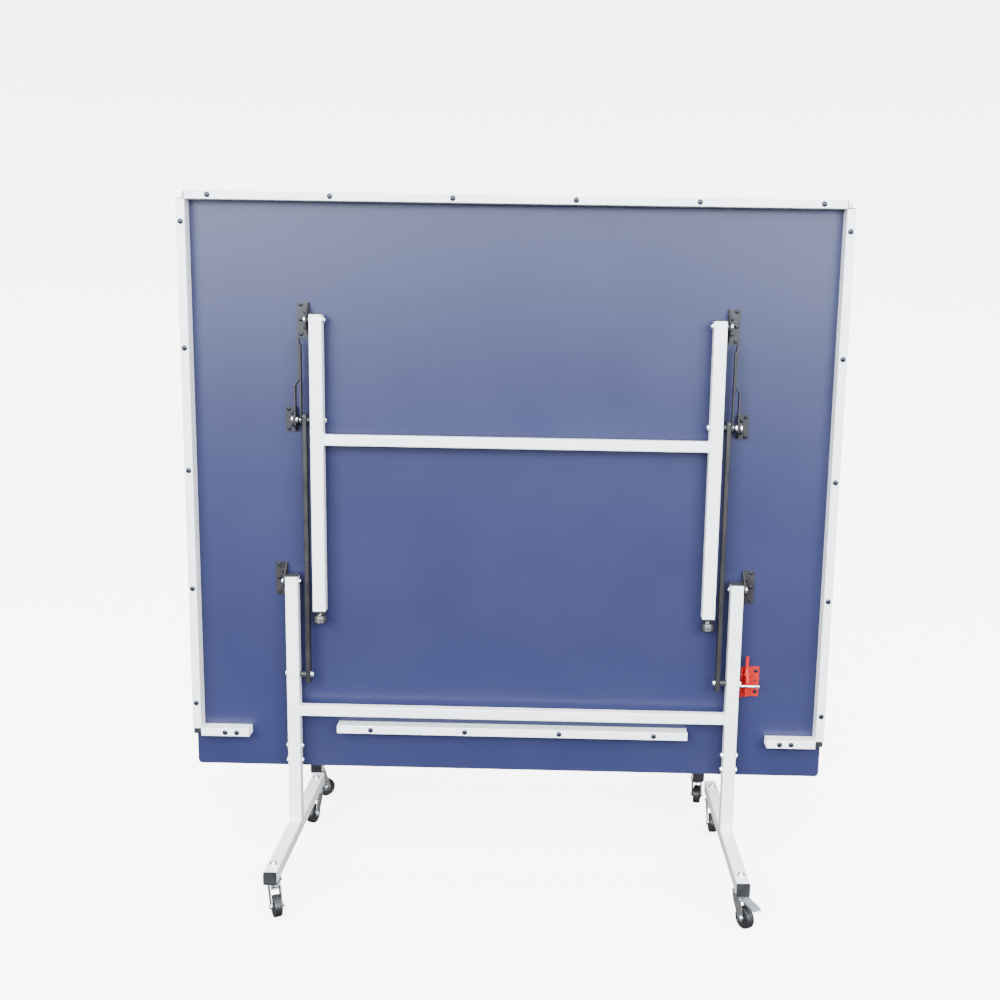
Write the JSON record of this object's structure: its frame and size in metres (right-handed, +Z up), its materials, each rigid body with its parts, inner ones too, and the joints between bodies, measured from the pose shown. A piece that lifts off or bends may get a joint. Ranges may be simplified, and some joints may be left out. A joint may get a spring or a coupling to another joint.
{
  "type": "table tennis table",
  "caption": "Folding table-tennis table in its storage position: upright blue tabletop halves with white apron rails, folding leg frames and braces on wheeled base frames.",
  "frame": {"origin": "on the floor, midway between the two halves, at the middle of the tabletop width", "axes": "+X across the table width, +Y from the front half to the rear half, +Z up"},
  "size_m": [1.525, 1.2582, 1.609],
  "materials": {
    "white_paint": "gloss white powder coat",
    "blue_board": "semi-gloss blue coated board",
    "black_plastic": "satin black",
    "grey_plastic": "satin grey",
    "zinc_bolt": "bright zinc",
    "dark_screw": "black zinc",
    "bracket_paint": "dark satin",
    "dark_paint": "dark satin",
    "red_paint": "satin red",
    "foot_rubber": "matt black",
    "zinc_fork": "bright zinc",
    "tyre": "matt dark rubber"
  },
  "bodies": {
    "front_base": {"front_base_frame": "white_paint", "front_foot_tubes": "white_paint", "front_tube_caps": "black_plastic", "front_base_bolts": "zinc_bolt", "front_caster_stems": "zinc_bolt"},
    "front_top": {"front_table_board": "blue_board", "front_apron_rails": "white_paint", "front_rail_plugs": "black_plastic", "front_panel_screws": "dark_screw", "front_hinge_brackets": "bracket_paint", "front_latch_plate": "red_paint"},
    "front_legs": {"front_leg_frame": "white_paint", "front_leg_plugs": "grey_plastic", "front_leg_bolts": "zinc_bolt"},
    "front_links": {"front_link_bars": "dark_paint"},
    "front_upper_brace": {"front_upper_braces": "dark_paint"},
    "front_lower_brace": {"front_lower_braces": "dark_paint"},
    "front_latch": {"front_latch_lever": "red_paint"},
    "front_foot_right_leg": {"front_leg_foot_right": "foot_rubber"},
    "front_foot_left_leg": {"front_leg_foot_left": "foot_rubber"},
    "front_swivel_outer_left": {"front_fork_outer_left": "zinc_fork"},
    "front_wheel_body_outer_left": {"front_wheel_outer_left": "tyre"},
    "front_swivel_outer_right": {"front_fork_outer_right": "zinc_fork"},
    "front_wheel_body_outer_right": {"front_wheel_outer_right": "tyre"},
    "front_brake_body_outer_right": {"front_brake_outer_right": "grey_plastic"},
    "front_swivel_inner_left": {"front_fork_inner_left": "zinc_fork"},
    "front_wheel_body_inner_left": {"front_wheel_inner_left": "tyre"},
    "front_brake_body_inner_left": {"front_brake_inner_left": "grey_plastic"},
    "front_swivel_inner_right": {"front_fork_inner_right": "zinc_fork"},
    "front_wheel_body_inner_right": {"front_wheel_inner_right": "tyre"},
    "rear_base": {"rear_base_frame": "white_paint", "rear_foot_tubes": "white_paint", "rear_tube_caps": "black_plastic", "rear_base_bolts": "zinc_bolt", "rear_caster_stems": "zinc_bolt"},
    "rear_top": {"rear_table_board": "blue_board", "rear_apron_rails": "white_paint", "rear_rail_plugs": "black_plastic", "rear_panel_screws": "dark_screw", "rear_hinge_brackets": "bracket_paint", "rear_latch_plate": "red_paint"},
    "rear_legs": {"rear_leg_frame": "white_paint", "rear_leg_plugs": "grey_plastic", "rear_leg_bolts": "zinc_bolt"},
    "rear_links": {"rear_link_bars": "dark_paint"},
    "rear_upper_brace": {"rear_upper_braces": "dark_paint"},
    "rear_lower_brace": {"rear_lower_braces": "dark_paint"},
    "rear_latch": {"rear_latch_lever": "red_paint"},
    "rear_foot_right_leg": {"rear_leg_foot_right": "foot_rubber"},
    "rear_foot_left_leg": {"rear_leg_foot_left": "foot_rubber"},
    "rear_swivel_outer_left": {"rear_fork_outer_left": "zinc_fork"},
    "rear_wheel_body_outer_left": {"rear_wheel_outer_left": "tyre"},
    "rear_swivel_outer_right": {"rear_fork_outer_right": "zinc_fork"},
    "rear_wheel_body_outer_right": {"rear_wheel_outer_right": "tyre"},
    "rear_brake_body_outer_right": {"rear_brake_outer_right": "grey_plastic"},
    "rear_swivel_inner_left": {"rear_fork_inner_left": "zinc_fork"},
    "rear_wheel_body_inner_left": {"rear_wheel_inner_left": "tyre"},
    "rear_brake_body_inner_left": {"rear_brake_inner_left": "grey_plastic"},
    "rear_swivel_inner_right": {"rear_fork_inner_right": "zinc_fork"},
    "rear_wheel_body_inner_right": {"rear_wheel_inner_right": "tyre"}
  },
  "joints": [
    {"name": "front_top_fold", "type": "hinge", "parent": "front_base", "child": "front_top", "pos_m": [0, -0.32, 0.712], "axis": [1, 0, 0], "range_deg": [0, 90]},
    {"name": "front_leg_fold", "type": "hinge", "parent": "front_top", "child": "front_legs", "pos_m": [0, -0.32, 1.324], "axis": [1, 0, 0], "range_deg": [-90, 0]},
    {"name": "front_link_swing", "type": "hinge", "parent": "front_base", "child": "front_links", "pos_m": [0, -0.32, 0.483], "axis": [1, 0, 0], "range_deg": [0, 90]},
    {"name": "front_upper_brace_turn", "type": "hinge", "parent": "front_top", "child": "front_upper_brace", "pos_m": [0, -0.32, 1.095], "axis": [1, 0, 0], "range_deg": [0, 32.28]},
    {"name": "front_lower_brace_turn", "type": "hinge", "parent": "front_legs", "child": "front_lower_brace", "pos_m": [0, -0.32, 1.095], "axis": [1, 0, 0], "range_deg": [-32.28, 0]},
    {"name": "front_latch_turn", "type": "hinge", "parent": "front_top", "child": "front_latch", "pos_m": [0.569, -0.304, 0.5], "axis": [1, 0, 0], "range_deg": [0, 10]},
    {"name": "front_foot_right_screw", "type": "slide", "parent": "front_legs", "child": "front_foot_right_leg", "axis": [0, 0, 1], "range_m": [0, 0.006]},
    {"name": "front_foot_left_screw", "type": "slide", "parent": "front_legs", "child": "front_foot_left_leg", "axis": [0, 0, 1], "range_m": [0, 0.006]},
    {"name": "front_swivel_outer_left", "type": "hinge", "parent": "front_base", "child": "front_swivel_outer_left", "pos_m": [-0.5145, -0.567, 0.08], "axis": [0, 0, 1], "continuous": true},
    {"name": "front_roll_outer_left", "type": "hinge", "parent": "front_swivel_outer_left", "child": "front_wheel_body_outer_left", "pos_m": [-0.50542, -0.58482, 0.025], "axis": [0.891, 0.454, 0], "continuous": true},
    {"name": "front_swivel_outer_right", "type": "hinge", "parent": "front_base", "child": "front_swivel_outer_right", "pos_m": [0.5365, -0.567, 0.08], "axis": [0, 0, 1], "continuous": true},
    {"name": "front_roll_outer_right", "type": "hinge", "parent": "front_swivel_outer_right", "child": "front_wheel_body_outer_right", "pos_m": [0.54589, -0.58466, 0.025], "axis": [0.8829, 0.4695, 0], "continuous": true},
    {"name": "front_brake_outer_right", "type": "hinge", "parent": "front_swivel_outer_right", "child": "front_brake_body_outer_right", "pos_m": [0.54307, -0.57936, 0.066], "axis": [0.8829, 0.4695, 0], "range_deg": [0, 10]},
    {"name": "front_swivel_inner_left", "type": "hinge", "parent": "front_base", "child": "front_swivel_inner_left", "pos_m": [-0.5145, -0.073, 0.08], "axis": [0, 0, 1], "continuous": true},
    {"name": "front_roll_inner_left", "type": "hinge", "parent": "front_swivel_inner_left", "child": "front_wheel_body_inner_left", "pos_m": [-0.52001, -0.09223, 0.025], "axis": [0.9613, -0.2756, 0], "continuous": true},
    {"name": "front_brake_inner_left", "type": "hinge", "parent": "front_swivel_inner_left", "child": "front_brake_body_inner_left", "pos_m": [-0.51836, -0.08646, 0.066], "axis": [0.9613, -0.2756, 0], "range_deg": [0, 10]},
    {"name": "front_swivel_inner_right", "type": "hinge", "parent": "front_base", "child": "front_swivel_inner_right", "pos_m": [0.5365, -0.073, 0.08], "axis": [0, 0, 1], "continuous": true},
    {"name": "front_roll_inner_right", "type": "hinge", "parent": "front_swivel_inner_right", "child": "front_wheel_body_inner_right", "pos_m": [0.53755, -0.09297, 0.025], "axis": [0.9986, 0.0523, 0], "continuous": true},
    {"name": "rear_top_fold", "type": "hinge", "parent": "rear_base", "child": "rear_top", "pos_m": [0, 0.32, 0.712], "axis": [-1, 0, 0], "range_deg": [0, 90]},
    {"name": "rear_leg_fold", "type": "hinge", "parent": "rear_top", "child": "rear_legs", "pos_m": [0, 0.32, 1.324], "axis": [-1, 0, 0], "range_deg": [-90, 0]},
    {"name": "rear_link_swing", "type": "hinge", "parent": "rear_base", "child": "rear_links", "pos_m": [0, 0.32, 0.483], "axis": [-1, 0, 0], "range_deg": [0, 90]},
    {"name": "rear_upper_brace_turn", "type": "hinge", "parent": "rear_top", "child": "rear_upper_brace", "pos_m": [0, 0.32, 1.095], "axis": [-1, 0, 0], "range_deg": [0, 32.28]},
    {"name": "rear_lower_brace_turn", "type": "hinge", "parent": "rear_legs", "child": "rear_lower_brace", "pos_m": [0, 0.32, 1.095], "axis": [-1, 0, 0], "range_deg": [-32.28, 0]},
    {"name": "rear_latch_turn", "type": "hinge", "parent": "rear_top", "child": "rear_latch", "pos_m": [-0.569, 0.304, 0.5], "axis": [-1, 0, 0], "range_deg": [0, 10]},
    {"name": "rear_foot_right_screw", "type": "slide", "parent": "rear_legs", "child": "rear_foot_right_leg", "axis": [0, 0, 1], "range_m": [0, 0.006]},
    {"name": "rear_foot_left_screw", "type": "slide", "parent": "rear_legs", "child": "rear_foot_left_leg", "axis": [0, 0, 1], "range_m": [0, 0.006]},
    {"name": "rear_swivel_outer_left", "type": "hinge", "parent": "rear_base", "child": "rear_swivel_outer_left", "pos_m": [0.5145, 0.567, 0.08], "axis": [0, 0, 1], "continuous": true},
    {"name": "rear_roll_outer_left", "type": "hinge", "parent": "rear_swivel_outer_left", "child": "rear_wheel_body_outer_left", "pos_m": [0.51034, 0.58656, 0.025], "axis": [-0.9781, -0.2079, 0], "continuous": true},
    {"name": "rear_swivel_outer_right", "type": "hinge", "parent": "rear_base", "child": "rear_swivel_outer_right", "pos_m": [-0.5365, 0.567, 0.08], "axis": [0, 0, 1], "continuous": true},
    {"name": "rear_roll_outer_right", "type": "hinge", "parent": "rear_swivel_outer_right", "child": "rear_wheel_body_outer_right", "pos_m": [-0.52711, 0.58466, 0.025], "axis": [-0.8829, 0.4695, 0], "continuous": true},
    {"name": "rear_brake_outer_right", "type": "hinge", "parent": "rear_swivel_outer_right", "child": "rear_brake_body_outer_right", "pos_m": [-0.52993, 0.57936, 0.066], "axis": [-0.8829, 0.4695, 0], "range_deg": [0, 10]},
    {"name": "rear_swivel_inner_left", "type": "hinge", "parent": "rear_base", "child": "rear_swivel_inner_left", "pos_m": [0.5145, 0.073, 0.08], "axis": [0, 0, 1], "continuous": true},
    {"name": "rear_roll_inner_left", "type": "hinge", "parent": "rear_swivel_inner_left", "child": "rear_wheel_body_inner_left", "pos_m": [0.51934, 0.09241, 0.025], "axis": [-0.9703, 0.2419, 0], "continuous": true},
    {"name": "rear_brake_inner_left", "type": "hinge", "parent": "rear_swivel_inner_left", "child": "rear_brake_body_inner_left", "pos_m": [0.51789, 0.08658, 0.066], "axis": [-0.9703, 0.2419, 0], "range_deg": [0, 10]},
    {"name": "rear_swivel_inner_right", "type": "hinge", "parent": "rear_base", "child": "rear_swivel_inner_right", "pos_m": [-0.5365, 0.073, 0.08], "axis": [0, 0, 1], "continuous": true},
    {"name": "rear_roll_inner_right", "type": "hinge", "parent": "rear_swivel_inner_right", "child": "rear_wheel_body_inner_right", "pos_m": [-0.52012, 0.08447, 0.025], "axis": [-0.5736, 0.8192, 0], "continuous": true},
    {"name": "halves_apart", "type": "slide", "parent": "front_base", "child": "rear_base", "axis": [0, 1, 0], "range_m": [0, 0.307]}
  ],
  "couplings": [
    {"joint": "front_leg_fold", "follows": "front_top_fold", "ratio": -1},
    {"joint": "front_link_swing", "follows": "front_top_fold", "ratio": 1},
    {"joint": "front_upper_brace_turn", "follows": "front_top_fold", "ratio": 0.35869},
    {"joint": "front_lower_brace_turn", "follows": "front_top_fold", "ratio": -0.35869},
    {"joint": "rear_leg_fold", "follows": "rear_top_fold", "ratio": -1},
    {"joint": "rear_link_swing", "follows": "rear_top_fold", "ratio": 1},
    {"joint": "rear_upper_brace_turn", "follows": "rear_top_fold", "ratio": 0.35869},
    {"joint": "rear_lower_brace_turn", "follows": "rear_top_fold", "ratio": -0.35869}
  ]
}
